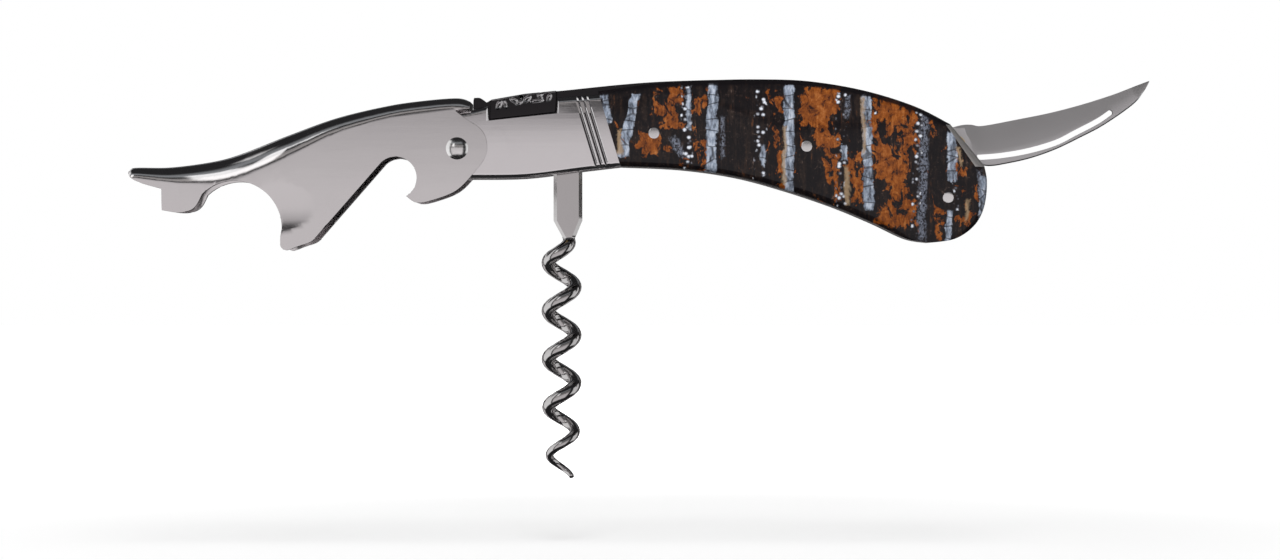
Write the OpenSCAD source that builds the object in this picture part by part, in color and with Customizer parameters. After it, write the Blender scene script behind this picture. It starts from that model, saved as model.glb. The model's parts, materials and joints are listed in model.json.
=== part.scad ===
// Waiters corkscrew, standing open as it is used: worm down, lever left, foil blade right.
// Millimetres. The origin is on the worm's axis at the height of its point.
// X runs along the handle from lever to blade, Y is the thickness, Z is up.

/* [Handle] */
// Half of the gap between the two liners
gap_half = 4.6; // [4.55:0.05:4.8]
// Thickness of each liner
liner_t = 0.9; // [0.8:0.05:1]
// Half thickness over the bolsters, at their middle
bolster_half = 7.3; // [7.1:0.05:7.35]
// Half thickness over the scales, at their fullest
scale_half = 8.5; // [8:0.1:8.8]
// Radius of the scales' rounding across their height
scale_crown = 70; // [60:5:110]
// Radius of the bolsters' rounding across their height
bolster_crown = 110; // [100:10:150]

/* [Pins] */
// Radius of the three scale pins
scale_pin_r = 1.25; // [1:0.05:1.4]
// Radius of the worm's and the blade's pivot pins
pivot_r = 1.5; // [1.4:0.05:1.6]
// Radial clearance of everything that turns on a pin
running = 0.05; // [0.02:0.01:0.1]
// Radius of the lever rivet's shaft
rivet_r = 1.9; // [1.7:0.05:2]
// Radius of the lever rivet's domed heads
rivet_head_r = 2.45; // [2.3:0.05:2.8]
// Height of the rivet's domes
rivet_dome = 0.95; // [0.6:0.05:1.2]

/* [Lever] */
// Half width between the cheeks where they straddle the handle
cheek_inner = 7.65; // [7.65:0.05:7.8]
// Thickness of the cheeks
cheek_t = 1.35; // [1.2:0.05:1.6]
// Thickness of the web that joins the cheeks
web_t = 1.5; // [1.3:0.1:1.7]
// Thickness of the washers between bolsters and cheeks
lever_washer_t = 0.3; // [0.2:0.05:0.3]

/* [Worm] */
// Diameter over the worm's turns
worm_od = 8.8; // [8:0.1:8.9]
// Diameter of the wire
wire_d = 3; // [2.6:0.1:3.2]
// Distance from turn to turn
worm_pitch = 10.6; // [10:0.1:11]
// Width of the flat shank
shank_w = 6.3; // [6:0.1:6.5]
// Thickness of the flat shank
shank_t = 3; // [2.6:0.1:3.2]

/* [Blade] */
// Thickness of the foil blade
blade_t = 1.7; // [1.4:0.1:2]
// Width of the long nail slot
slot_w = 1.2; // [1:0.1:1.4]

/* [Hidden] */

$fn = 64;
liner_half = gap_half + liner_t;
cheek_half = cheek_inner + cheek_t;
eps = 0.01;
far = 200;

// Pivots and pins, as [x, z]
lever_at = [-22.6, 72.1];
worm_at = [1.4, 71.6];
blade_at = [85.5, 72.3];
front_at = [20.3, 75.5];
middle_at = [53.6, 72.6];
rear_at = [84.5, 61.4];
stop_at = [90.2, 67.35];
bolster_pin_at = [-8, 72];

// Radii and lengths of the small hardware
stop_r = 0.9;
bolster_pin_r = 0.8;
bolster_skin = 0.6;
front_pin_half = 7.25;
middle_pin_half = 8.5;
rear_pin_half = 7.1;
worm_washer_r = 3;
blade_washer_r = 3.2;
lever_washer_r = 5;
side_gap = 0.05;

// The main spring's bar, and the block that stands on it
bar_half = 4.5;
block_half = 6.8;

// A smooth line through its points. It leaves out the last point, so that runs join end to end.
function through(a, b, c, d, t) = 0.5 * (2 * b + (c - a) * t + (2 * a - 5 * b + 4 * c - d) * t * t
  + (3 * b - a - 3 * c + d) * t * t * t);
function run(p, n = 5) = let (last = len(p) - 1) [
  for (i = [0 : last - 1], j = [0 : n - 1])
    through(p[max(i - 1, 0)], p[i], p[i + 1], p[min(i + 2, last)], j / n)
];
function run_all(p, n = 5) = concat(run(p, n), [p[len(p) - 1]]);
function arc(c, r, from, to, n = 16) = [
  for (i = [0 : n]) let (a = from + (to - from) * i / n) c + r * [cos(a), sin(a)]
];
function shifted(p, by) = [for (q = p) q + by];
function backwards(p) = [for (i = [len(p) - 1 : -1 : 0]) p[i]];

// ---- Outlines, seen from the near side, as [x, z]

// Top of the handle behind the bolster, along the main spring, and over the blade's bay
handle_top = [[12.6, 85.4], [21, 86.5], [32, 87.1], [43, 87.3], [54, 86.9], [66, 84.9], [77, 81.5],
  [85, 77.5]];
tail = [[92.5, 68.4], [93.1, 64.6], [92.4, 59.2], [90.2, 55.2], [86, 52.4], [80.5, 51.6]];
belly = [[80.5, 51.6], [75.5, 52.5], [68, 56], [59, 59.7], [48.2, 63.3], [38, 66], [26, 67.7], [13, 68.3]];
bolster_bottom = [[13, 68.3], [4.5, 67.3], [-7.6, 65.8], [-19.7, 65.6]];
bolster_nose = [[-19.7, 65.6], [-25, 66.4], [-28.6, 69.3], [-29.7, 73], [-27.8, 77], [-22.9, 79.8]];
joint_top = [8.3, 83.9];
joint_foot = [13, 68.3];
notch = [[-16, 81.4], [-15.8, 78.2], [-0.9, 79.8], [-0.7, 83.2]];
// Grooves across the bolsters, by their distance in front of the joint
groove_back = [3.1, 4.3, 5.5];
groove_w = 0.55;
groove_deep = 0.4;

liner_outline = concat(
  run(bolster_nose), [[-22.9, 79.8]], notch, [joint_top], run(handle_top), [[85, 77.5]],
  run(tail), run(belly), run(bolster_bottom)
);
bolster_outline = concat(run(bolster_nose), [[-22.9, 79.8]], notch, [joint_top], run(bolster_bottom));
scale_outline = concat([joint_top], run(handle_top), [[85, 77.5]], run(tail), run(belly), [joint_foot]);

// Main spring: nub, top of the block, then the band along the handle's back
spring_nub = [[-19.2, 78.6], [-19.2, 82.8], [-18.6, 83.3], [-17.6, 83.2], [-16.3, 82.3]];
spring_back = [[-15.4, 82.8], [-8, 84.1], [0.5, 84.9], [12, 86.1], [21, 86.8], [32, 87.2], [38.5, 87.25]];
spring_under = [[38.5, 84.6], [33, 83.2], [27, 81], [12, 79], [2, 77.9], [-8, 77.4], [-19.2, 78.6]];
block_outline = [[-15.6, 78.5], [-15.4, 82.8], [-8, 84.1], [-0.9, 84.8], [-1.1, 80.1]];
spring_lobe_r = 2.9;
lobe_neck = [[17.4, 75.5], [17.4, 80.5], [23.2, 80.8], [23.2, 75.5]];

blade_spring_outline = [[44, 74.8], [53.6, 75.2], [62, 73.7], [70, 72], [78, 70.2], [78, 69], [70, 69.9],
  [62, 70.5], [53.6, 70.3], [44, 71.6]];
tail_spacer_outline = concat([[77.6, 66.4], [92.2, 66.4]],
  run([[92.4, 64.6], [91.8, 59.5], [89.6, 55.8], [85.8, 53.2], [80.6, 52.4], [77, 53]]), [[77, 53]]);

// Lever, from its pivot
lever_top = [[-72.3, -5], [-71, -4.1], [-62.9, -4], [-53.2, -2.7], [-46.8, -0.9], [-37.2, 2.8],
  [-26.6, 6.6], [-15.8, 9.2], [-7.9, 10.4], [0, 11], [2.9, 10.2]];
cheek_end = [[-0.6, 8.4], [1.6, 6.7], [5, 4.4], [6.4, 1.7], [6.2, -1.6], [3.9, -5], [-0.1, -9.1],
  [-5.2, -11.2], [-8.8, -11.8], [-11.1, -10.4]];
crown_c = [-13.4, -6.4];
crown_r = 4.6;
lip_c = [-48.6, -17.4];
lip_r = 10.4;
foot_two = [[-30.3, -18.8], [-31.8, -20.3], [-34.6, -21.3], [-37.2, -22.2], [-38.5, -21.2], [-38.5, -19.2]];
foot_one = [[-55.9, -10.1], [-57.2, -12.5], [-58.9, -13.6], [-61.4, -13.9], [-64.7, -13.4]];
tip_under = [[-64.9, -8.7], [-66.8, -8.2], [-69.4, -7.4], [-71.6, -6.3], [-72.3, -5]];

lever_outline = concat(
  run(lever_top), [[2.9, 10.2], [2.7, 8.7]], run(cheek_end),
  arc(crown_c, crown_r, -60, 132), run(foot_two), arc(lip_c, lip_r, 0, 134),
  run(foot_one), [[-64.7, -13.4]], run(tip_under)
);
// The channel between the cheeks: it lies a web's thickness under the top, and stays open below
under_web = shifted([for (i = [2 : 10]) lever_top[i]], [0, -web_t]);
channel_outline = concat(run_all(under_web), [[12, 8.6], [12, -40], [-66, -40]]);
// Half widths of the lever from above, as [distance from the pivot, half width]
lever_plan = [[9, cheek_half], [-30, cheek_half], [-40, 8.85], [-49, 7.6], [-58, 6.35], [-66, 5.7],
  [-73, 5.2]];
channel_plan = [[12, cheek_inner], [-30, cheek_inner], [-40, 7.6], [-49, 6.25], [-57, 5], [-66, 4.8]];

// Scales from above: slim where the lever's cheeks pass, fuller behind
scale_plan = [[7, bolster_half], [16, bolster_half], [26, bolster_half], [38, 7.95], [50, scale_half],
  [66, 8.4], [82, 7.9], [95, 7.3]];

// Blade, in place: cutting edge from the tang to the tip, then the convex back to the tang
blade_edge = [[85.9, 77], [87.3, 77.7], [89.6, 77.2], [93, 77.4], [100, 78.7], [107, 80.1], [114, 81.9],
  [121, 84.1], [126.2, 86.1], [129.4, 87.3]];
blade_back = [[129.4, 87.3], [128, 84.8], [125.5, 81.9], [119.2, 77.5], [113.9, 74.7], [108.7, 72.2],
  [103.4, 70.3], [98.2, 69.1], [94, 68.5], [91, 69.2]];
tang_r = 4.7;
blade_heel = [[86, 77], [93, 77], [93, 69], [87, 68.2]];
slot_line = [[91.4, 70.4], [96.4, 70.8], [102.4, 71.8], [108.6, 73.6], [113, 75.8], [117.8, 78.3],
  [120.6, 80.2]];

// Worm: a right-handed coil, thinning to its point
coil_top = 53.4;
coil_right = 41.9;
coil_rings = 20;
coil_sides = 8;
point_r = 0.45;
shank_full = 57.7;
shank_end = 53.3;
coil_r = (worm_od - wire_d) / 2;

function ramp(v, low, high) = min(1, max(0, (v - low) / (high - low)));
function wire_r_at(z) = point_r + (wire_d / 2 - point_r) * pow(ramp(z, -0.5, 17), 0.75);
function coil_r_at(z) = coil_r - 0.5 * (1 - ramp(z, 0, 9)) - 1.3 * ramp(z, 48.5, 52.8);
function coil_at(z) = let (a = 360 * (z - coil_right) / worm_pitch, r = coil_r_at(z))
  [r * cos(a), r * sin(a), z];

// ---- Helpers

// An outline in the XZ plane, thick from one y to another
module slab(points, from, to) {
  translate([0, to, 0]) rotate([90, 0, 0]) linear_extrude(height = to - from) polygon(points);
}

// A round bar along Y
module bar(at, r, from, to) {
  translate([at[0], to, at[1]]) rotate([90, 0, 0]) cylinder(r = r, h = to - from);
}

module ring(at, r, hole, from, to) {
  difference() {
    bar(at, r, from, to);
    bar(at, hole, from - 1, to + 1);
  }
}

// Everything up to half widths that change along X
module plan(p, low, high) {
  side = run_all(p);
  translate([0, 0, low]) linear_extrude(height = high - low)
    polygon(concat(side, backwards([for (q = side) [q[0], -q[1]]])));
}

// A long cylinder whose skin is the rounded outer face of a near-side plate
module crown(half, radius, mid_z) {
  translate([-60, radius - half, mid_z]) rotate([0, 90, 0]) cylinder(r = radius, h = 220, $fn = 180);
}

module far_side() {
  mirror([0, 1, 0]) children();
}

// ---- Handle

module liner_near() {
  difference() {
    slab(liner_outline, -liner_half, -gap_half);
    bar(lever_at, rivet_r, -far, far);
    bar(worm_at, pivot_r, -far, far);
    bar(blade_at, pivot_r, -far, far);
    bar(stop_at, stop_r, -far, far);
    bar(bolster_pin_at, bolster_pin_r, -far, far);
    for (at = [front_at, middle_at, rear_at]) bar(at, scale_pin_r, -far, far);
  }
}

module bolster_near() {
  slant = atan2(joint_top[1] - joint_foot[1], joint_top[0] - joint_foot[0]);
  difference() {
    intersection() {
      slab(bolster_outline, -far / 2, -liner_half);
      crown(bolster_half, bolster_crown, 74);
    }
    bar(lever_at, rivet_r, -far, far);
    bar(worm_at, pivot_r, -bolster_half + bolster_skin, 0);
    bar(bolster_pin_at, bolster_pin_r, -bolster_half + bolster_skin, 0);
    for (back = groove_back)
      translate([joint_foot[0] - back, -bolster_half - 1 + groove_deep, joint_foot[1]])
        rotate([0, -slant, 0]) translate([-8, -1, -groove_w / 2]) cube([30, 2, groove_w]);
  }
}

module scale_near() {
  difference() {
    intersection() {
      slab(scale_outline, -far / 2, -liner_half);
      crown(scale_half, scale_crown, 72);
      plan(scale_plan, 40, 100);
    }
    for (at = [front_at, middle_at, rear_at]) bar(at, scale_pin_r, -far, far);
  }
}

module near_liner() { color("silver") liner_near(); }
module far_liner() { color("silver") far_side() liner_near(); }
module near_bolster() { color("gainsboro") bolster_near(); }
module far_bolster() { color("gainsboro") far_side() bolster_near(); }
module near_scale() { color([0.2, 0.13, 0.09]) scale_near(); }
module far_scale() { color([0.2, 0.13, 0.09]) far_side() scale_near(); }

module near_bolster_pin() {
  color("silver") bar(bolster_pin_at, bolster_pin_r, -bolster_half + bolster_skin, -gap_half);
}

module far_bolster_pin() {
  color("silver") bar(bolster_pin_at, bolster_pin_r, gap_half, bolster_half - bolster_skin);
}

module main_spring() {
  color("dimgray") difference() {
    union() {
      slab(concat(spring_nub, run(spring_back), run(spring_under)), -bar_half, bar_half);
      bar(front_at, spring_lobe_r, -bar_half, bar_half);
      slab(lobe_neck, -bar_half, bar_half);
      slab(block_outline, -block_half, block_half);
    }
    bar(front_at, scale_pin_r, -far, far);
  }
}

module blade_spring() {
  color("silver") difference() {
    slab(blade_spring_outline, -bar_half, bar_half);
    bar(middle_at, scale_pin_r, -far, far);
  }
}

module tail_spacer() {
  color("silver") difference() {
    slab(tail_spacer_outline, -gap_half, gap_half);
    bar(rear_at, scale_pin_r, -far, far);
  }
}

module front_pin() { color("gainsboro") bar(front_at, scale_pin_r, -front_pin_half, front_pin_half); }
module middle_pin() { color("gainsboro") bar(middle_at, scale_pin_r, -middle_pin_half, middle_pin_half); }
module rear_pin() { color("gainsboro") bar(rear_at, scale_pin_r, -rear_pin_half, rear_pin_half); }
module stop_pin() { color("silver") bar(stop_at, stop_r, -liner_half, liner_half); }

// ---- Lever

module lever() {
  color("gainsboro") translate([lever_at[0], 0, lever_at[1]]) difference() {
    intersection() {
      slab(lever_outline, -cheek_half, cheek_half);
      plan(lever_plan, -30, 20);
    }
    intersection() {
      slab(channel_outline, -far, far);
      plan(channel_plan, -50, 20);
    }
    bar([0, 0], rivet_r + running, -far, far);
  }
}

module rivet_head() {
  dome_r = (rivet_head_r * rivet_head_r + rivet_dome * rivet_dome) / (2 * rivet_dome);
  swing = asin(rivet_head_r / dome_r);
  rotate_extrude() polygon(concat([[0, 0]], [
    for (i = [0 : 8]) let (a = swing * (1 - i / 8)) [dome_r * sin(a), dome_r * (cos(a) - cos(swing))]
  ]));
}

module lever_rivet() {
  color("silver") union() {
    bar(lever_at, rivet_r, -cheek_half - side_gap - eps, cheek_half + side_gap + eps);
    for (side = [-1, 1])
      translate([lever_at[0], side * (cheek_half + side_gap), lever_at[1]]) rotate([-90 * side, 0, 0])
        rivet_head();
  }
}

module washer_lever() {
  ring(lever_at, lever_washer_r, rivet_r, -bolster_half - lever_washer_t, -bolster_half);
}

module near_lever_washer() { color("silver") washer_lever(); }
module far_lever_washer() { color("silver") far_side() washer_lever(); }

// ---- Worm

module coil() {
  turns = coil_top / worm_pitch;
  rings = ceil(turns * coil_rings);
  sides = coil_sides;
  centres = [for (i = [0 : rings]) coil_at(coil_top * i / rings)];
  points = [
    for (i = [0 : rings]) let (
      c = centres[i],
      ahead = centres[min(i + 1, rings)] - centres[max(i - 1, 0)],
      t = ahead / norm(ahead),
      out = [c[0], c[1], 0] / norm([c[0], c[1], 0]),
      u = out - t * (out * t),
      n = u / norm(u),
      b = cross(t, n),
      r = wire_r_at(c[2])
    ) for (k = [0 : sides - 1]) c + r * (cos(360 * k / sides) * n + sin(360 * k / sides) * b)
  ];
  walls = [
    for (i = [0 : rings - 1], k = [0 : sides - 1], half = [0, 1]) let (m = (k + 1) % sides, low = i * sides)
      half == 0 ? [low + k, low + sides + k, low + sides + m] : [low + k, low + sides + m, low + m]
  ];
  foot = [[for (k = [0 : sides - 1]) k]];
  head = [[for (k = [sides - 1 : -1 : 0]) rings * sides + k]];
  polyhedron(points = points, faces = concat(walls, foot, head), convexity = 10);
}

module worm() {
  half = shank_w / 2;
  color("silver") difference() {
    union() {
      coil();
      bar(worm_at, half, -shank_t / 2, shank_t / 2);
      slab([[worm_at[0] - half, worm_at[1]], [worm_at[0] + half, worm_at[1]], [worm_at[0] + half, shank_full],
        [2.9, shank_end], [0.3, shank_end], [worm_at[0] - half, shank_full]], -shank_t / 2, shank_t / 2);
    }
    bar(worm_at, pivot_r + running, -far, far);
  }
}

module worm_pin() {
  color("silver") bar(worm_at, pivot_r, -bolster_half + bolster_skin, bolster_half - bolster_skin);
}

module washer_worm() { ring(worm_at, worm_washer_r, pivot_r, -gap_half, -shank_t / 2 - side_gap); }
module near_worm_washer() { color("silver") washer_worm(); }
module far_worm_washer() { color("silver") far_side() washer_worm(); }

// ---- Blade

module blade() {
  slot_run = run_all(slot_line);
  last = len(slot_run) - 1;
  sides = [for (s = [1, -1]) [for (i = [0 : last]) let (
    d = slot_run[min(i + 1, last)] - slot_run[max(i - 1, 0)]
  ) slot_run[i] + s * slot_w / 2 * [-d[1], d[0]] / norm(d)]];
  color("silver") difference() {
    union() {
      slab(concat(run(blade_edge), run_all(blade_back)), -blade_t / 2, blade_t / 2);
      bar(blade_at, tang_r, -blade_t / 2, blade_t / 2);
      slab(blade_heel, -blade_t / 2, blade_t / 2);
    }
    bar(blade_at, pivot_r + running, -far, far);
    slab(concat(sides[0], backwards(sides[1])), -far, far);
    bar(slot_line[0], slot_w / 2, -far, far);
    bar(slot_line[len(slot_line) - 1], slot_w / 2, -far, far);
  }
}

module blade_pin() { color("silver") bar(blade_at, pivot_r, -liner_half, liner_half); }
module washer_blade() { ring(blade_at, blade_washer_r, pivot_r, -gap_half, -blade_t / 2 - side_gap); }
module near_blade_washer() { color("silver") washer_blade(); }
module far_blade_washer() { color("silver") far_side() washer_blade(); }

near_liner();
far_liner();
near_bolster();
far_bolster();
near_scale();
far_scale();
near_bolster_pin();
far_bolster_pin();
main_spring();
blade_spring();
tail_spacer();
front_pin();
middle_pin();
rear_pin();
stop_pin();
lever();
lever_rivet();
near_lever_washer();
far_lever_washer();
worm();
worm_pin();
near_worm_washer();
far_worm_washer();
blade();
blade_pin();
near_blade_washer();
far_blade_washer();
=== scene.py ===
# %% [markdown]
# # A waiters corkscrew
#
# The corkscrew stands open, as it is used: the worm points down, the lever reaches left over the
# bottle's lip, and the foil blade is out at the right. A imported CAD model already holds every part
# at its true size, so this lesson dresses it. Parts that nobody sees closely keep their CAD mesh and
# get a finish. Parts that carry the look are modelled again here, in the same place, with rounded
# edges that catch the light. A mirror finish shows every edge, so the edges matter most.

# %% Load the frame
import json
import math

import bmesh
import bpy
from mathutils import Matrix, Vector


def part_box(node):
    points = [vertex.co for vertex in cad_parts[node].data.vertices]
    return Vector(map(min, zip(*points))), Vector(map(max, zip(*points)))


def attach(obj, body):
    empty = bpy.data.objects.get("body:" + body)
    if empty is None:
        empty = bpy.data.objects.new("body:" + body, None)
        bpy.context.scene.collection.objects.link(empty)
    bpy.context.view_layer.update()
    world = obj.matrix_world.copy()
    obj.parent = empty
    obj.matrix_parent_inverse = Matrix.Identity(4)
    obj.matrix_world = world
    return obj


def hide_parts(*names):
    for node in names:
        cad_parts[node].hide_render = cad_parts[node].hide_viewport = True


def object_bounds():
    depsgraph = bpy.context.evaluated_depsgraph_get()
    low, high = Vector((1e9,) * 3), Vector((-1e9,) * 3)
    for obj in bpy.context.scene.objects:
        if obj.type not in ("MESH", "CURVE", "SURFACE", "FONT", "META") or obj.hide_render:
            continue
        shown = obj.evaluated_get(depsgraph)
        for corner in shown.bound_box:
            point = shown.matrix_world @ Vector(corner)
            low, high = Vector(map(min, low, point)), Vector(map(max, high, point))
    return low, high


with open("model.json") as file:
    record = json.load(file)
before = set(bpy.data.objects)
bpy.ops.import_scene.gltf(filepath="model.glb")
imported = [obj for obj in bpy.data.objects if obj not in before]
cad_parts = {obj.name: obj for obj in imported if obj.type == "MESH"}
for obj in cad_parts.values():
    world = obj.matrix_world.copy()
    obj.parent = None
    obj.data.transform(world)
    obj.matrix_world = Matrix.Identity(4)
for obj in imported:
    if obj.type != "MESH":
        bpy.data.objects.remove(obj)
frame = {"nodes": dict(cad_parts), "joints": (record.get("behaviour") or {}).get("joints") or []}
cad_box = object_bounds()
MM = 0.001
pivot = {joint["name"]: Vector(joint["pos_m"]) / MM for joint in frame["joints"]}
print("CAD box in mm:", [round(v / MM, 1) for corner in cad_box for v in corner])

# %% [markdown]
# ## Lines, solids and edges
#
# A drawn outline is a few points with a smooth line through them. Each piece is modelled in
# millimetres, because that is how a maker thinks of it, and is scaled to metres once, when it is
# finished. Three small tools do most of the work: one makes an outline solid, one cuts a solid with
# another, and one rounds the edges that are left. They could be done by hand in the editor, but a
# boolean and a bevel in code give the same result every run.

# %% A smooth line through points
def smooth(points, steps=6):
    """A smooth line through every point, both ends kept."""
    p = [Vector(q) for q in points]
    line = []
    for i in range(len(p) - 1):
        a, b, c, d = p[max(i - 1, 0)], p[i], p[i + 1], p[min(i + 2, len(p) - 1)]
        for j in range(steps):
            t = j / steps
            bend = (2 * a - 5 * b + 4 * c - d) * t * t + (3 * b - a - 3 * c + d) * t * t * t
            line.append((2 * b + (c - a) * t + bend) / 2)
    return line + [p[-1]]


def arc(centre, radius, start, end, steps=20):
    """Points along an arc, in degrees."""
    angles = [math.radians(start + (end - start) * i / steps) for i in range(steps + 1)]
    return [Vector((centre[0] + radius * math.cos(a), centre[1] + radius * math.sin(a))) for a in angles]


def height_at(line, x):
    """The height of a line drawn left to right (or right to left) at x."""
    for a, b in zip(line, line[1:]):
        if min(a.x, b.x) <= x <= max(a.x, b.x) and a.x != b.x:
            return a.y + (b.y - a.y) * (x - a.x) / (b.x - a.x)
    return line[0].y if abs(x - line[0].x) < abs(x - line[-1].x) else line[-1].y


def join(*lines, nearest=0.02):
    """One closed outline from lines laid end to end, without doubled points."""
    outline = []
    for line in lines:
        for q in line:
            q = Vector(q)
            if not outline or (q - outline[-1]).length > nearest:
                outline.append(q)
    if (outline[0] - outline[-1]).length < nearest:
        outline.pop()
    return outline


def ease(v, low, high):
    """0 below low, 1 above high, and a soft step between them."""
    t = min(1.0, max(0.0, (v - low) / (high - low)))
    return t * t * (3 - 2 * t)


print("drawing tools ready")


# %% Solids, cuts and rounded edges
def as_object(bm):
    """A bmesh as an object, still in millimetres and without its own name."""
    mesh = bpy.data.meshes.new("blank")
    bm.to_mesh(mesh)
    bm.free()
    thing = bpy.data.objects.new("blank", mesh)
    bpy.context.scene.collection.objects.link(thing)
    return thing


def slab(outline, near, far):
    """A flat outline in X and Z, given thickness along Y."""
    bm = bmesh.new()
    ring = [bm.verts.new((q[0], near, q[1])) for q in outline]
    face = bm.faces.new(ring)
    grown = bmesh.ops.extrude_face_region(bm, geom=[face])
    moved = [v for v in grown["geom"] if isinstance(v, bmesh.types.BMVert)]
    bmesh.ops.translate(bm, verts=moved, vec=(0, far - near, 0))
    bmesh.ops.recalc_face_normals(bm, faces=bm.faces)
    return bm


def apply_all(thing):
    """Makes the object's modifiers permanent."""
    graph = bpy.context.evaluated_depsgraph_get()
    done = bpy.data.meshes.new_from_object(thing.evaluated_get(graph))
    old = thing.data
    thing.modifiers.clear()
    thing.data = done
    bpy.data.meshes.remove(old)
    return thing


def combine(thing, other, how="DIFFERENCE"):
    """Cuts, joins or keeps what two solids share. The other solid is used up."""
    step = thing.modifiers.new("combine", "BOOLEAN")
    step.operation = how
    step.object = other
    step.solver = "EXACT"
    apply_all(thing)
    bpy.data.objects.remove(other)
    return thing


def round_edges(thing, width, segments=2, angle=35):
    """Rounds every edge sharper than an angle."""
    step = thing.modifiers.new("rounded", "BEVEL")
    step.width = width
    step.segments = segments
    step.limit_method = "ANGLE"
    step.angle_limit = math.radians(angle)
    step.use_clamp_overlap = True
    return apply_all(thing)


def clean(thing, distance=0.004, flat=0.0):
    """Merges doubled points, drops slivers that a cut leaves, and makes each flat one face."""
    bm = bmesh.new()
    bm.from_mesh(thing.data)
    bmesh.ops.remove_doubles(bm, verts=bm.verts, dist=distance)
    bmesh.ops.dissolve_degenerate(bm, edges=bm.edges, dist=distance)
    if flat:
        bmesh.ops.dissolve_limit(bm, angle_limit=math.radians(flat), verts=bm.verts, edges=bm.edges)
    bm.to_mesh(thing.data)
    bm.free()
    return thing


def finish_piece(thing, name, body, material, replaces=(), sharp=30):
    """Scales a piece to metres, shades it, and hands it to the frame."""
    thing.data.transform(Matrix.Scale(MM, 4))
    thing.name = name
    thing.data.name = name
    thing.data.materials.clear()
    thing.data.materials.append(material)
    for face in thing.data.polygons:
        face.material_index = 0
        face.use_smooth = True
    thing.data.set_sharp_from_angle(angle=math.radians(sharp))
    even = thing.modifiers.new("even shading", "WEIGHTED_NORMAL")
    even.keep_sharp = True
    even.weight = 60
    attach(thing, body)
    if replaces:
        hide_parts(*replaces)
    print(f"{name}: {len(thing.data.polygons)} faces, on the {body}")
    return thing


# %% [markdown]
# ## Finishes
#
# Polished steel has almost no colour of its own: what it shows is the room. What makes it real is
# that the polish isn't perfect. The roughness drifts a little across the surface, and fine wheel
# marks run along it, so a reflection's edge is soft in one place and crisp in the next. Both are
# noise on the object's own coordinates, stretched along the direction of the wheel. A scan of real
# steel could be wrapped round it instead, but noise never repeats and needs no unwrapping.

# %% A small kit for wiring materials
class Wiring:
    """Adds nodes to one node tree, and joins them as they are made."""

    def __init__(self, tree):
        self.nodes, self.links = tree.nodes, tree.links

    @classmethod
    def of_material(cls, name):
        material = bpy.data.materials.new(name)
        material.use_nodes = True
        wiring = cls(material.node_tree)
        wiring.material = material
        wiring.shader = wiring.nodes["Principled BSDF"]
        wiring.place = wiring.add("ShaderNodeTexCoord").outputs["Object"]
        return wiring

    def add(self, kind, **inputs):
        node = self.nodes.new(kind)
        for key, value in inputs.items():
            self.plug(node, key.replace("_", " "), value)
        return node

    def plug(self, node, key, value):
        socket = node.inputs[int(key) if key.isdigit() else key]
        if isinstance(value, bpy.types.NodeSocket):
            self.links.new(value, socket)
        else:
            socket.default_value = value

    def stretch(self, scale, turn=(0, 0, 0)):
        """The object's coordinates, in millimetres times scale, turned by degrees."""
        node = self.add("ShaderNodeMapping", Vector=self.place)
        node.inputs["Rotation"].default_value = [math.radians(t) for t in turn]
        node.inputs["Scale"].default_value = [s / MM for s in scale]
        return node.outputs[0]

    def noise(self, where, scale=1.0, detail=3.0, rough=0.5, twist=0.0):
        node = self.add("ShaderNodeTexNoise", Vector=where, Scale=scale, Detail=detail)
        node.inputs["Roughness"].default_value = rough
        node.inputs["Distortion"].default_value = twist
        return node.outputs[0]

    def math(self, how, a, b=0.0, c=0.0, clamp=False):
        node = self.nodes.new("ShaderNodeMath")
        node.operation = how
        node.use_clamp = clamp
        for key, value in (("0", a), ("1", b), ("2", c)):
            self.plug(node, key, value)
        return node.outputs[0]

    def step(self, value, low, high, out_low=0.0, out_high=1.0):
        """A soft step from one level to another."""
        node = self.nodes.new("ShaderNodeMapRange")
        node.interpolation_type = "SMOOTHSTEP"
        for key, v in (("Value", value), ("From Min", low), ("From Max", high),
                       ("To Min", out_low), ("To Max", out_high)):
            self.plug(node, key, v)
        return node.outputs[0]

    def blend(self, amount, a, b, how="MIX"):
        node = self.nodes.new("ShaderNodeMix")
        node.data_type = "RGBA"
        node.blend_type = how
        self.plug(node, "0", amount)
        self.plug(node, "6", a)
        self.plug(node, "7", b)
        return node.outputs[2]

    def ramp(self, value, *stops):
        node = self.add("ShaderNodeValToRGB", Fac=value)
        points = node.color_ramp.elements
        while len(points) < len(stops):
            points.new(0.5)
        for point, (at, colour) in zip(points, stops):
            point.position = at
            point.color = colour
        return node.outputs[0]

    def bump(self, height, strength, distance, under=None):
        node = self.add("ShaderNodeBump", Height=height, Strength=strength)
        node.inputs["Distance"].default_value = distance * MM
        if under is not None:
            self.plug(node, "Normal", under)
        return node.outputs[0]

    def set(self, **inputs):
        for key, value in inputs.items():
            self.plug(self.shader, key.replace("_", " "), value)
        return self


def colour(r, g, b):
    return (r, g, b, 1.0)


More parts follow.
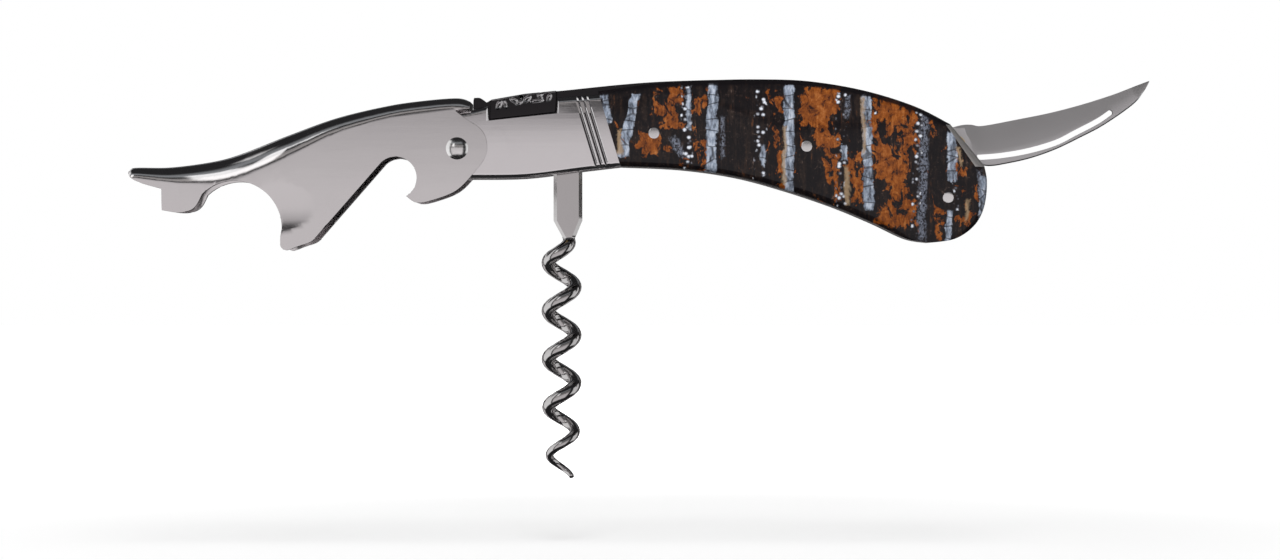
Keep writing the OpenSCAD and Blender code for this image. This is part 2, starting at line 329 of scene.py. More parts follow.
# %% Steel, from mirror to satin
def steel(name, tint, rough, drift, marks, mark_scale=(0.25, 6, 6), turn=(0, 0, 0), wear=0.12):
    """Steel with fine wheel marks along one direction.

    drift is how far the roughness wanders, wear is how far the shade does, and marks is how
    strongly the scratches are raised.
    """
    w = Wiring.of_material(name)
    soft = w.noise(w.stretch((0.05, 0.05, 0.05)), 1.0, 4.0, 0.6, 0.8)
    lines = w.noise(w.stretch(mark_scale, turn), 1.0, 6.0, 0.65)
    smudge = w.step(w.noise(w.stretch((0.16, 0.16, 0.16)), 1.0, 5.0, 0.62, 1.4), 0.48, 0.75)
    line_wear = 0.05
    shade = w.math("MULTIPLY_ADD", soft, wear, 1 - (wear + line_wear) / 2)
    shade = w.math("MULTIPLY_ADD", lines, line_wear, shade, clamp=True)
    base = w.blend(shade, colour(0, 0, 0), tint)
    uneven = w.math("MULTIPLY_ADD", smudge, drift * 0.5, rough - drift / 2)
    uneven = w.math("MULTIPLY_ADD", soft, drift, uneven)
    polish = w.math("MULTIPLY_ADD", lines, drift * 0.6, uneven, clamp=True)
    w.set(Base_Color=base, Roughness=polish, Metallic=1.0, Normal=w.bump(lines, marks, 0.02))
    return w.material


mirror_steel = steel("mirror steel", colour(0.83, 0.81, 0.815), 0.085, 0.06, 0.10)
bolster_steel = steel("bolster steel", colour(0.84, 0.82, 0.83), 0.10, 0.07, 0.10, turn=(0, 4, 0))
worm_steel = steel("worm steel", colour(0.60, 0.585, 0.585), 0.12, 0.03, 0.0, (0.3, 0.3, 0.5), wear=0.15)
# The spring's tint is near black: painted shade that darkens the whole spring and its block.
blade_tint, painted_shade_spring_tint = colour(0.72, 0.716, 0.726), colour(0.035, 0.033, 0.035)
blade_steel = steel("satin blade steel", blade_tint, 0.30, 0.08, 0.2, (0.12, 9, 9), (0, -20, 0))
spring_steel = steel("spring steel dark with painted shade", painted_shade_spring_tint, 0.16, 0.10, 0.25, (0.3, 5, 5))
filed_steel = steel("bright filed steel", colour(0.62, 0.61, 0.62), 0.12, 0.10, 0.30, (3, 3, 3), wear=0.5)
plate_steel = steel("satin plate steel", colour(0.46, 0.45, 0.45), 0.24, 0.1, 0.12, (0.2, 7, 7))
pin_steel = steel("pin steel", colour(0.86, 0.85, 0.85), 0.16, 0.08, 0.2, (2, 2, 2))
brass = steel("plain brass", colour(0.78, 0.58, 0.27), 0.25, 0.12, 0.3, (1.2, 1.2, 1.2), wear=0.3)
print("steels and brass ready")

# %% [markdown]
# ## The lever
#
# The lever is pressed from one sheet: a web along the top and two cheeks that hang from it, with a
# rounded shoulder between. Its feet and its hook are cut from the cheeks. So it is made the same
# way: a closed trough is drawn along its length, one ring for each place, then the side outline is
# kept and the channel is taken out. A box with bevelled edges would be quicker, but the shoulder
# grows wider toward the tip, and the bright streak along the real lever comes from just that.

# %% The lever's side outline and its half widths, from its pivot
lever_pivot = Vector((pivot["lever_fold"].x, pivot["lever_fold"].z))
lever_top = smooth([(-72.3, -5), (-71, -4.1), (-62.9, -4), (-53.2, -2.7), (-46.8, -0.9), (-37.2, 2.8),
                    (-26.6, 6.6), (-15.8, 9.2), (-7.9, 10.4), (0, 11), (2.9, 10.2)], 10)
cheek_end = smooth([(-0.6, 8.4), (1.6, 6.7), (5, 4.4), (6.4, 1.7), (6.2, -1.6), (3.9, -5), (-0.1, -9.1),
                    (-5.2, -11.2), (-8.8, -11.8), (-11.1, -10.4)], 8)
crown_hook = arc((-13.4, -6.4), 4.6, -60, 132, 30)
foot_two = smooth([(-30.3, -18.8), (-31.8, -20.3), (-34.6, -21.3), (-37.2, -22.2), (-38.5, -21.2),
                   (-38.5, -19.2)])
lip_step = arc((-48.6, -17.4), 10.4, 0, 134, 36)
foot_one = smooth([(-55.9, -10.1), (-57.2, -12.5), (-58.9, -13.6), (-61.4, -13.9), (-64.7, -13.4)])
tip_under = smooth([(-64.9, -8.7), (-66.8, -8.2), (-69.4, -7.4), (-71.6, -6.3), (-72.3, -5)])
web_end = [(2.7, 8.7)]
lever_outline = join(lever_top, web_end, cheek_end, crown_hook, foot_two, lip_step, foot_one, tip_under)
lever_half = smooth([(9, 9), (-30, 9), (-40, 8.85), (-49, 7.6), (-58, 6.35), (-66, 5.7), (-74, 5.1)])
channel_half = smooth([(12, 7.65), (-30, 7.65), (-40, 7.6), (-49, 6.25), (-57, 5), (-66, 4.8)])
shoulder_tall = smooth([(12, 2.6), (-12, 2.8), (-26, 3.6), (-36, 5.0), (-48, 5.6), (-58, 4.4),
                        (-66, 3.0), (-74, 2.0)])
shoulder_wide = smooth([(12, 1.8), (-12, 2.0), (-26, 2.4), (-36, 3.0), (-48, 3.2), (-58, 2.8),
                        (-66, 2.4), (-74, 1.8)])
print("lever outline:", len(lever_outline), "points")


# %% Rings joined one to the next
def loft(rings):
    """A closed solid through rings of points: each new ring is extruded from the last and moved."""
    bm = bmesh.new()
    verts = [bm.verts.new(p) for p in rings[0]]
    edges = [bm.edges.new((a, b)) for a, b in zip(verts, verts[1:] + verts[:1])]
    bm.faces.new(verts)
    for ring in rings[1:]:
        grown = bmesh.ops.extrude_edge_only(bm, edges=edges)["geom"]
        fresh = {g for g in grown if isinstance(g, bmesh.types.BMVert)}
        verts = [next(e.other_vert(v) for e in v.link_edges if e.other_vert(v) in fresh) for v in verts]
        for v, place in zip(verts, ring):
            v.co = place
        edges = [bm.edges.get((a, b)) for a, b in zip(verts, verts[1:] + verts[:1])]
    bm.faces.new(verts)
    bmesh.ops.recalc_face_normals(bm, faces=bm.faces)
    return bm


def sunk(x, z):
    """How far the cheek's face lies in: bowed toward the web, and dished beside the second foot."""
    reach = math.hypot((x + 38.5) / 7.4, (z + 13.0) / 5.4)
    dish = 0.3 * max(0.0, 1 - reach * reach)
    return dish + 0.0011 * max(0.0, z + 10) ** 2


def trough(stations, half, wall=0.0):
    """The lever's solid form, or its channel when the wall's thickness is given."""
    foot, levels, turns = -25, 30, 10
    rings = []
    for x in stations:
        w, top = height_at(half, x), height_at(lever_top, x) - wall
        wide, tall = (height_at(line, x) - 0.8 * wall for line in (shoulder_wide, shoulder_tall))
        side = []
        for i in range(levels + 1):
            z = foot + (top - tall - foot) * i / levels
            side.append((w if wall else w - sunk(x, z), z))
        root = side[-1][0]
        for i in range(1, turns + 1):
            swing = math.radians(90 * i / turns)
            side.append((root - wide + wide * math.cos(swing), top - tall + tall * math.sin(swing)))
        ring = side + [(-y, z) for y, z in reversed(side)]
        rings.append([(x + lever_pivot.x, y, z + lever_pivot.y) for y, z in ring])
    return loft(rings)


# %% Cut the lever
def outline_at(outline, place, half):
    """A slab of an outline that is drawn from a pivot."""
    return as_object(slab([q + place for q in outline], -half, half))


def peg(x, z, radius, near, far, sides=48):
    """A round peg along Y."""
    bm = bmesh.new()
    turn = Matrix.Translation((x, (near + far) / 2, z)) @ Matrix.Rotation(math.pi / 2, 4, "X")
    bmesh.ops.create_cone(bm, cap_ends=True, segments=sides, radius1=radius, radius2=radius,
                          depth=far - near, matrix=turn)
    return as_object(bm)


past = 12.0  # wider than the tool, so that a cutter goes right through
lever = as_object(trough([8.0 - 0.75 * i for i in range(109)], lever_half))
combine(lever, outline_at(lever_outline, lever_pivot, past), "INTERSECT")
channel = as_object(trough([10.0 - 1.0 * i for i in range(77)], channel_half, wall=1.5))
combine(lever, channel)
combine(lever, peg(lever_pivot.x, lever_pivot.y, 1.95, -past, past))
clean(lever, 0.16, 0.2)
round_edges(lever, 0.34, 3, 40)
finish_piece(lever, "polished_lever", "lever", mirror_steel, ["lever"], 38)


# %% The rivet that the lever turns on
def turned(profile, place):
    """A profile of (radius, y) spun round a pin's own line."""
    bm = bmesh.new()
    line = [bm.verts.new((place.x + r, y, place.y)) for r, y in profile]
    edges = [bm.edges.new(pair) for pair in zip(line, line[1:])]
    bmesh.ops.spin(bm, geom=line + edges, cent=(place.x, 0, place.y), axis=(0, 1, 0),
                   angle=math.tau, steps=64, use_merge=True)
    bmesh.ops.remove_doubles(bm, verts=bm.verts, dist=0.001)
    bmesh.ops.recalc_face_normals(bm, faces=bm.faces)
    return as_object(bm)


def dome(radius, rise, base, steps=10):
    """Half of a domed head, from its crown at the centre out to its rim."""
    ball = (radius * radius + rise * rise) / (2 * rise)
    swing = math.asin(radius / ball)
    line = []
    for i in range(steps + 1):
        angle = swing * i / steps
        line.append((ball * math.sin(angle), ball * (math.cos(angle) - math.cos(swing)) + base))
    return line


head = dome(2.38, 0.93, 9.1) + [(2.42, 9.06), (2.4, 9.03), (1.9, 9.02)]
rivet_line = [(r, -y) for r, y in head] + [(1.9, 9.02)] + list(reversed(head))[1:]
finish_piece(turned(rivet_line, lever_pivot), "domed_rivet", "handle", pin_steel,
             ["lever_rivet"], 50)

# %% [markdown]
# ## Bolsters and scales
#
# A bolster is a cheek of steel and a scale a slab of fossil tooth, both fixed to the liner plate and
# sanded flush with each other. Each starts as a flat outline. Its face is inset again and again and
# lifted a little each time, which gives the rounded edge that follows any outline. Then the face is
# cut into strips and its points are moved onto the handle's shared skin, so both meet in one line.

# %% The handle's outlines and its skin
handle_top = smooth([(12.6, 85.4), (21, 86.5), (32, 87.1), (43, 87.3), (54, 86.9), (66, 84.9),
                     (77, 81.5), (85, 77.5)])
tail = smooth([(92.5, 68.4), (93.1, 64.6), (92.4, 59.2), (90.2, 55.2), (86, 52.4), (80.5, 51.6)])
belly = smooth([(80.5, 51.6), (75.5, 52.5), (68, 56), (59, 59.7), (48.2, 63.3), (38, 66),
                (26, 67.7), (13, 68.3)])
bolster_bottom = smooth([(13, 68.3), (4.5, 67.3), (-7.6, 65.8), (-19.7, 65.6)])
bolster_nose = smooth([(-19.7, 65.6), (-25, 66.4), (-28.6, 69.3), (-29.7, 73), (-27.8, 77),
                       (-22.9, 79.8)])
joint_top, joint_foot = Vector((8.3, 83.9)), Vector((13, 68.3))
liner_face, bolster_half = 5.5, 7.3
scale_half = smooth([(7, 7.3), (16, 7.3), (26, 7.3), (38, 7.95), (50, 8.5), (66, 8.4), (82, 7.9),
                     (95, 7.3)])


def skin(x, z):
    """Half the handle's thickness at a place on its side."""
    bolster = bolster_half - (z - 74) ** 2 / 220
    scale = min(8.5 - (z - 72) ** 2 / 140, height_at(scale_half, x) + 0.02)
    return bolster + (scale - bolster) * ease(x, 13, 30)


def cheek(outline, edge, steps=6, strip=1.3, column=4.0):
    """A flat outline made a plate with a rounded rim and the handle's skin, on the near side."""
    straight = 0.9
    low = liner_face + straight
    bm = slab(outline, -low, -liner_face)
    bm.faces.ensure_lookup_table()
    face = min(bm.faces, key=lambda f: f.calc_center_median().y)
    angles = [math.radians(90 * i / steps) for i in range(steps + 1)]
    for a, b in zip(angles, angles[1:]):
        bmesh.ops.inset_region(bm, faces=[face], thickness=edge * (math.cos(a) - math.cos(b)),
                               depth=math.sin(b) - math.sin(a), use_even_offset=True, use_boundary=True)
    top = low + 1
    spans = [[v.co[k] for v in bm.verts] for k in (0, 2)]
    for values, axis, gap in ((spans[0], (1, 0, 0), column), (spans[1], (0, 0, 1), strip)):
        at = min(values) + gap
        while at < max(values):
            flat = [f for f in bm.faces if all(v.co.y < -top + 0.01 for v in f.verts)]
            parts = flat + list({e for f in flat for e in f.edges})
            parts += list({v for f in flat for v in f.verts})
            bmesh.ops.bisect_plane(bm, geom=parts, dist=0.0005, plane_co=Vector(axis) * at, plane_no=axis)
            at += gap
    # Painted shade along the upper half of the rounded rim: each point's share is one at the outline's
    # edge and none on the flat face.
    rim_shade_share = bm.verts.layers.float.new("painted_rim_shade")
    for v in bm.verts:
        share = max(0.0, -v.co.y - low)
        halfway = (height_at(handle_top, v.co.x) + height_at(belly, v.co.x)) / 2
        v[rim_shade_share] = 1 - share if v.co.z > halfway and v.co.x < 84 else 0.0
        if v.co.y < -low + 0.001:
            thick = max(0.12, skin(v.co.x, v.co.z) - liner_face)
            rim = min(edge, 0.8 * thick)
            v.co.y = -(liner_face + thick - rim * (1 - share))
    return as_object(bm)


def trim(thing, point, direction):
    """Cuts a plate along a straight line and closes the cut. The side that direction names goes."""
    bm = bmesh.new()
    bm.from_mesh(thing.data)
    geom = bm.verts[:] + bm.edges[:] + bm.faces[:]
    cut = bmesh.ops.bisect_plane(bm, geom=geom, dist=0.0005, plane_co=(point.x, 0, point.y),
                                 plane_no=(direction.x, 0, direction.y), clear_outer=True)
    edges = [e for e in cut["geom_cut"] if isinstance(e, bmesh.types.BMEdge)]
    bmesh.ops.contextual_create(bm, geom=edges)
    bmesh.ops.recalc_face_normals(bm, faces=bm.faces)
    bm.to_mesh(thing.data)
    bm.free()
    return thing


def far_twin(thing):
    """The same piece on the far side of the handle."""
    twin = thing.copy()
    twin.data = thing.data.copy()
    bpy.context.scene.collection.objects.link(twin)
    bm = bmesh.new()
    bm.from_mesh(twin.data)
    bmesh.ops.scale(bm, vec=(1, -1, 1), verts=bm.verts)
    bmesh.ops.reverse_faces(bm, faces=bm.faces)
    bm.to_mesh(twin.data)
    bm.free()
    return twin


joint_line = (joint_foot - joint_top).normalized()
joint_out = Vector((-joint_line.y, joint_line.x))
joint_lean = math.degrees(math.atan2(joint_line.x, -joint_line.y))
print("joint between bolster and scale leans", round(joint_lean, 1))

# %% Near and far bolster
notch = [(-16.2, 88), (-16, 81.4), (-15.8, 78.2), (-0.9, 79.8), (-0.7, 83.2), (-0.6, 88)]
bolster_top = [Vector(q) for q in [(-0.7, 83.2), (8.3, 83.9), (13, 84.6)]]
bolster_edge, joint_gap = 1.15, 0.02
bolster_outline = join(bolster_nose, [(-16, 81.4)], bolster_top, [(17, 68.9)], bolster_bottom)
bolster = cheek(bolster_outline, bolster_edge, column=60)
trim(bolster, joint_foot - joint_out * joint_gap, joint_out)
combine(bolster, as_object(slab(notch, -past, 0)))
flare_depth, spread = -6.7, 5.3
flare = slab(notch, -past, flare_depth)
for v in flare.verts:
    if v.co.y < flare_depth - 1:
        v.co.x += spread if v.co.x > -8 else -spread
combine(bolster, as_object(flare))


def groove(offset, width, edge=bolster_edge, flank=31):
    """A shallow V groove beside the joint. It follows the skin, and dips over the rim at both ends."""
    slope = math.tan(math.radians(flank))
    deep, above, stride = width / 2 * slope, 0.6, 0.25
    rings = []
    for i in range(-8, 75):
        q = joint_top + joint_line * stride * i - joint_out * offset
        inside = min(height_at(bolster_top, q.x) - q.y, q.y - height_at(bolster_bottom, q.x))
        share = min(1.0, max(0.0, inside / edge))
        thick = skin(q.x, q.y) - liner_face
        y = liner_face + thick - min(edge, 0.8 * thick) * (1 - math.sqrt(1 - (1 - share) ** 2))
        wide = joint_out * ((deep + above) / slope)
        rings.append([(q.x, deep - y, q.y), (q.x + wide.x, -above - y, q.y + wide.y),
                      (q.x - wide.x, -above - y, q.y - wide.y)])
    return as_object(loft(rings))


for offset in (2.75, 3.85, 4.95):
    combine(bolster, groove(offset, 0.86))
clean(bolster, 0.01)
round_edges(bolster, 0.14, 2, 32)
for side, piece in (("far", far_twin(bolster)), ("near", bolster)):
    finish_piece(piece, side + "_bolster_polished", "handle", bolster_steel,
                 [side + "_bolster"])

# %% Near and far scale
scale_outline = join([(5, 84.3)], handle_top, [(85, 77.5)], tail, belly, [(9, 68.2)])
scale = cheek(scale_outline, 1.8)
trim(scale, joint_foot + joint_out * joint_gap, -joint_out)
round_edges(clean(scale, 0.01), 0.12, 2, 40)

# %% [markdown]
# ## Fossil tooth
#
# The scales are slices of fossil mammoth molar. The tooth is a pack of plates: ridges of pale blue
# enamel stand nearly upright, rows of small white beads lie between them, and what fills the rest
# is black, brown or burnt orange. No single noise gives that, so each kind is a list of places, in
# millimetres along the handle, and noise only roughens its edges. All the masks read the object's
# own coordinates, so the bands run through the slab and come out on its rounded rim too.

# %% Where the tooth's bands lie, from the top end to the bottom end
# (x at the top, z at the top, x at the bottom, z at the bottom, half width)
enamel_ridges = [
    (9.3, 84.2, 10.2, 77.4, 0.72), (16.4, 84.0, 13.5, 70.6, 1.05), (33.3, 86.4, 32.6, 66.0, 1.15),
    (49.8, 86.0, 49.7, 62.5, 1.05), (66.6, 83.6, 67.2, 59.0, 1.05), (85.1, 76.2, 85.4, 65.2, 1.0),
    (84.7, 58.6, 84.6, 52.0, 0.6), (92.3, 66.5, 92.0, 56.5, 0.85), (61.7, 72.8, 61.8, 69.4, 0.7),
    (27.6, 85.0, 28.0, 76.5, 0.5), (43.8, 73.0, 44.2, 68.0, 0.5)
]
bead_rows = [
    (27.2, 85.6, 27.6, 68.0, 1.0), (43.5, 84.5, 43.4, 65.5, 1.2), (61.2, 84.3, 61.0, 59.5, 1.05),
    (78.2, 80.6, 77.2, 52.5, 0.85), (68.2, 79.8, 68.4, 77.6, 0.6), (85.9, 66.0, 86.4, 59.0, 0.5)
]
blue_grey_seams = [
    (79.4, 79.5, 78.7, 52.0, 0.85), (91.2, 67.5, 91.6, 62.0, 0.5), (35.2, 79.0, 35.4, 70.0, 0.35),
    (62.5, 83.5, 62.4, 79.0, 0.5), (24.5, 74.5, 26.4, 70.5, 0.9)
]
tan_edges = [
    (12.8, 76.0, 13.0, 71.2, 0.55), (49.0, 77.0, 48.7, 64.0, 0.35), (65.8, 83.2, 66.3, 71.0, 0.35),
    (62.4, 68.0, 62.3, 59.8, 0.5), (86.4, 72.4, 87.3, 68.6, 0.4), (88.6, 61.0, 88.2, 56.5, 0.3)
]
burnt_orange = [
    (22.9, 85.4, 23.4, 76.0, 3.2), (19.6, 75.2, 18.6, 70.6, 2.5), (30.2, 83.4, 30.3, 79.4, 1.6),
    (29.2, 76.5, 29.0, 69.0, 0.4), (31.2, 73.5, 31.0, 67.0, 0.4), (46.2, 84.3, 46.4, 79.0, 0.55),
    (47.7, 83.8, 47.6, 78.6, 0.5), (46.6, 76.6, 46.6, 72.2, 0.55), (48.2, 71.0, 47.8, 63.0, 0.5),
    (56.2, 85.4, 56.6, 72.6, 4.5), (57.8, 71.5, 58.2, 62.0, 0.6), (60.0, 71.5, 60.2, 60.0, 0.7),
    (63.2, 71.0, 64.0, 60.5, 0.75), (65.2, 71.0, 65.4, 60.5, 0.7), (72.6, 83.4, 73.0, 55.8, 4.7),
    (80.6, 78.0, 81.0, 74.5, 0.7), (83.2, 74.6, 83.2, 70.4, 0.45), (86.6, 71.6, 87.8, 66.2, 0.75),
    (90.4, 65.4, 90.5, 60.8, 0.75), (82.6, 58.8, 82.5, 52.6, 0.5), (88.3, 61.8, 88.0, 55.5, 0.45),
    (86.6, 58.4, 86.6, 54.0, 0.35)
]
dark_pockets = [
    (70.6, 77.6, 70.4, 72.8, 1.5), (69.6, 66.0, 69.0, 57.0, 1.3), (77.0, 71.0, 76.6, 60.0, 1.2),
    (54.0, 76.5, 53.6, 72.5, 1.3), (52.4, 84.6, 52.0, 80.0, 0.7), (25.4, 80.4, 26.6, 78.4, 0.5),
    (59.8, 79.0, 59.4, 75.0, 0.6), (21.0, 79.0, 19.6, 75.4, 0.9)
]
print("tooth pattern:", len(enamel_ridges), "enamel ridges and", len(bead_rows), "bead rows")


# %% The tooth's material
def fossil_tooth():
    w = Wiring.of_material("fossil tooth")
    parts = w.add("ShaderNodeSeparateXYZ", Vector=w.stretch((1, 1, 1)))
    drift = w.noise(w.stretch((0.14, 0.2, 0.16)), 1.0, 3.0, 0.55)
    wander = w.noise(w.stretch((0.34, 0.25, 0.26)), 1.0, 5.0, 0.66, 0.4)
    chips = w.noise(w.stretch((1.3, 1.0, 0.8)), 1.0, 5.0, 0.75, 0.8)

    def shaken(axis, slow, quick, chip):
        """One coordinate, pushed about by the three noises, each by its own width in millimetres."""
        push = w.math("MULTIPLY_ADD", drift, slow, -(slow + quick + chip) / 2)
        push = w.math("MULTIPLY_ADD", wander, quick, push)
        return w.math("ADD", w.math("MULTIPLY_ADD", chips, chip, push), parts.outputs[axis])

    ridge_at = (shaken(0, 1.0, 2.2, 1.1), shaken(2, -2.0, 1.0, 3.0))
    patch_at = (shaken(0, 3.0, 5.0, 3.2), shaken(2, -5.0, 4.5, -3.4))

    def band(place, soft, at):
        """One where a band lies, and a soft edge of the given width around it."""
        x_top, z_top, x_low, z_low, half = place
        lean = (x_top - x_low) / (z_top - z_low)
        line = w.math("MULTIPLY_ADD", at[1], -lean, w.math("ADD", at[0], lean * z_low - x_low))
        across = w.math("SUBTRACT", half, w.math("ABSOLUTE", line))
        middle, reach = (z_top + z_low) / 2, (z_top - z_low) / 2
        along = w.math("SUBTRACT", reach, w.math("ABSOLUTE", w.math("ADD", at[1], -middle)))
        return w.math("MULTIPLY_ADD", w.math("MINIMUM", across, along), 1 / soft, 0.5, clamp=True)

    def bands(places, soft, at):
        found = band(places[0], soft, at)
        for place in places[1:]:
            found = w.math("MAXIMUM", found, band(place, soft, at))
        return found

    fibre = w.noise(w.stretch((1.2, 0.6, 0.13)), 1.0, 5.0, 0.62, 0.5)
    cloud = w.noise(w.stretch((0.5, 0.4, 0.40)), 1.0, 7.0, 0.70, 1.2)
    grain = w.noise(w.stretch((2.2, 2.0, 1.6)), 1.0, 6.0, 0.74, 0.4)
    brown = w.step(w.math("MULTIPLY_ADD", fibre, 0.55, w.math("MULTIPLY", cloud, 0.45)), 0.46, 0.62)
    body = w.blend(brown, colour(0.006, 0.0048, 0.0058), colour(0.019, 0.012, 0.010))
    specks = w.math("MULTIPLY_ADD", grain, 0.55, w.math("MULTIPLY", cloud, 0.45))
    specks = w.step(specks, 0.56, 0.66, 0.0, 0.8)
    body = w.blend(specks, body, colour(0.115, 0.078, 0.066))
    rust = w.math("MULTIPLY_ADD", wander, 0.5, w.math("MULTIPLY", fibre, 0.5))
    rust = w.step(rust, 0.58, 0.66, 0.0, 0.7)
    body = w.blend(rust, body, colour(0.10, 0.035, 0.012))

    tone = w.math("MULTIPLY_ADD", cloud, 0.5, w.math("MULTIPLY", fibre, 0.25))
    tone = w.math("MULTIPLY_ADD", grain, 0.25, tone)
    blotch = w.noise(w.stretch((0.34, 0.3, 0.24)), 1.0, 4.0, 0.6, 0.9)
    orange_tone = w.ramp(tone, (0.38, colour(0.020, 0.007, 0.003)), (0.45, colour(0.11, 0.028, 0.005)),
                         (0.52, colour(0.23, 0.060, 0.008)), (0.60, colour(0.34, 0.115, 0.026)),
                         (0.70, colour(0.50, 0.26, 0.11)))
    zone = w.math("SUBTRACT", bands(burnt_orange, 1.2, patch_at),
                  w.math("MULTIPLY", bands(dark_pockets, 1.6, patch_at), 0.75))
    orange = w.step(w.math("MULTIPLY_ADD", blotch, 4.5, w.math("ADD", zone, -2.45)), 0.40, 0.62)
    orange = w.math("MULTIPLY", orange, w.step(cloud, 0.34, 0.44))
    face = w.blend(orange, body, orange_tone)

    seam = w.math("MULTIPLY", bands(blue_grey_seams, 0.6, ridge_at), w.step(grain, 0.42, 0.58))
    face = w.blend(seam, face, colour(0.15, 0.165, 0.21))
    beads = w.add("ShaderNodeTexVoronoi", Vector=w.stretch((0.78, 0.5, 0.86)), Scale=1.0)
    beads.inputs["Randomness"].default_value = 0.8
    bead = w.step(beads.outputs["Distance"], 0.47, 0.36)
    bead = w.math("MULTIPLY", bead, w.step(bands(bead_rows, 0.8, ridge_at), 0.3, 0.6))
    glint = w.math("ADD", beads.outputs["Distance"], w.math("MULTIPLY_ADD", grain, 0.5, -0.25))
    glint = w.step(glint, 0.38, 0.16)
    face = w.blend(bead, face, w.blend(glint, colour(0.075, 0.075, 0.09), colour(0.66, 0.69, 0.76)))

    ridge = bands(enamel_ridges, 0.3, ridge_at)
    cracks = w.add("ShaderNodeTexVoronoi", Vector=w.stretch((0.16, 0.2, 0.34), (0, 28, 0)), Scale=1.0)
    cracks.feature = "DISTANCE_TO_EDGE"
    crack = w.step(cracks.outputs["Distance"], 0.01, 0.06)
    milk = w.math("MULTIPLY_ADD", w.noise(w.stretch((1.1, 0.8, 0.38)), 1.0, 5.0, 0.62), 0.85,
                  w.math("MULTIPLY", grain, 0.15))
    enamel = w.ramp(milk, (0.36, colour(0.030, 0.032, 0.042)), (0.44, colour(0.13, 0.15, 0.19)),
                    (0.52, colour(0.25, 0.29, 0.365)), (0.62, colour(0.46, 0.50, 0.58)))
    face = w.blend(w.math("MULTIPLY", ridge, w.math("MAXIMUM", crack, 0.3)), face, enamel)
    tan = w.math("MULTIPLY", bands(tan_edges, 0.5, ridge_at), 0.8)
    face = w.blend(tan, face, w.blend(grain, colour(0.16, 0.09, 0.04), colour(0.48, 0.35, 0.22)))
    # The upper rounded rim is painted almost black: painted shade where the rim turns up, away from the
    # light.
    rim_shade_mask = w.add("ShaderNodeAttribute")
    rim_shade_mask.attribute_name = "painted_rim_shade"
    rim_shade_mask = w.step(rim_shade_mask.outputs["Fac"], 0.02, 0.13)
    face = w.blend(w.math("MULTIPLY", rim_shade_mask, 0.93), face, colour(0.006, 0.005, 0.006))

    tail_liner = (86.5, 77.3, 92.9, 68.2, 2.5)
    rim = w.step(band(tail_liner, 0.3, (parts.outputs[0], parts.outputs[2])), 0.3, 0.7)
    face = w.blend(rim, face, colour(0.80, 0.77, 0.75))
    lift = w.math("MULTIPLY_ADD", bead, 0.6, w.math("MULTIPLY", grain, 0.12))
    lift = w.math("MULTIPLY_ADD", ridge, 0.6, lift)
    rough = w.math("MULTIPLY_ADD", rim, 0.2, w.math("MULTIPLY_ADD", grain, 0.2, 0.2))
    w.set(Base_Color=face, Roughness=rough, Metallic=rim, Normal=w.bump(lift, 0.3, 0.04))
    w.shader.inputs["Coat Weight"].default_value = 0.3
    w.shader.inputs["Coat Roughness"].default_value = 0.04
    w.shader.inputs["Coat IOR"].default_value = 1.5
    w.shader.inputs["Specular IOR Level"].default_value = 0.1
    return w.material


tooth = fossil_tooth()
print("fossil tooth:", len(tooth.node_tree.nodes), "nodes")
for side, piece in (("far", far_twin(scale)), ("near", scale)):
    finish_piece(piece, side + "_scale_fossil", "handle", tooth, [side + "_scale"], 40)

# %% [markdown]
# ## The main spring
#
# One spring runs along the back of the handle. Its front end holds the lever open or shut, and its
# block stands up between the bolsters. Makers decorate this block with a file, so it gets a generic
# row of leaf-shaped hollows and notches along its upper half. Filework is taken away from the
# steel, not drawn on it: small cutters are subtracted, and the edges that they leave are rounded so
# that they glint.

# %% Spring bar, block and filework
spring_back = smooth([(-15.4, 82.8), (-8, 84.1), (0.5, 84.9), (12, 86.1), (21, 86.8), (32, 87.2),
                      (38.5, 87.25)], 8)
spring_under = smooth([(38.5, 84.6), (33, 83.2), (27, 81), (12, 79), (2, 77.9), (-8, 77.4), (-19.2, 78.6)])
spring_nub = smooth([(-19.2, 78.6), (-19.2, 82.8), (-18.6, 83.3), (-17.6, 83.2), (-16.3, 82.3)], 4)
spring_reach, block_reach = 4.5, 6.8
spring = as_object(slab(join(spring_nub, spring_back, spring_under), -spring_reach, spring_reach))
block_side = [(-15.6, 78.5), (-15.4, 82.8), (-8, 84.1), (-0.9, 84.8), (-1.1, 80.1)]
block = as_object(slab(block_side, -block_reach, block_reach))
round_edges(block, 0.3, 2)


def file_cut(x, lean, wide, deep):
    """A V that a triangular file leaves across the block's upper edge, on both sides at once."""
    bm = bmesh.new()
    bmesh.ops.create_cube(bm, size=1.0)
    bmesh.ops.scale(bm, vec=(wide, 20, wide), verts=bm.verts)
    bmesh.ops.rotate(bm, verts=bm.verts, matrix=Matrix.Rotation(math.pi / 4, 3, "Y"))
    bmesh.ops.rotate(bm, verts=bm.verts, matrix=Matrix.Rotation(lean, 3, "Z"))
    bmesh.ops.translate(bm, verts=bm.verts, vec=(x, 0, height_at(spring_back, x) + wide * 0.7 - deep))
    return as_object(bm)


def scoop(x, z, side, radius, deep, tall=1.0, lean=0.0):
    """A leaf-shaped hollow in the block's side."""
    bm = bmesh.new()
    bmesh.ops.create_icosphere(bm, subdivisions=3, radius=radius)
    bmesh.ops.scale(bm, vec=(1, 1, tall), verts=bm.verts)
    bmesh.ops.rotate(bm, verts=bm.verts, matrix=Matrix.Rotation(lean, 3, "Y"))
    bmesh.ops.translate(bm, verts=bm.verts, vec=(x, side * (block_reach + radius - deep), z))
    return as_object(bm)


def pin_place(node):
    """Where a pin's line crosses the side view, from the CAD node's box."""
    low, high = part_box(node)
    middle = (low + high) / 2 / MM
    return Vector((middle.x, middle.z))


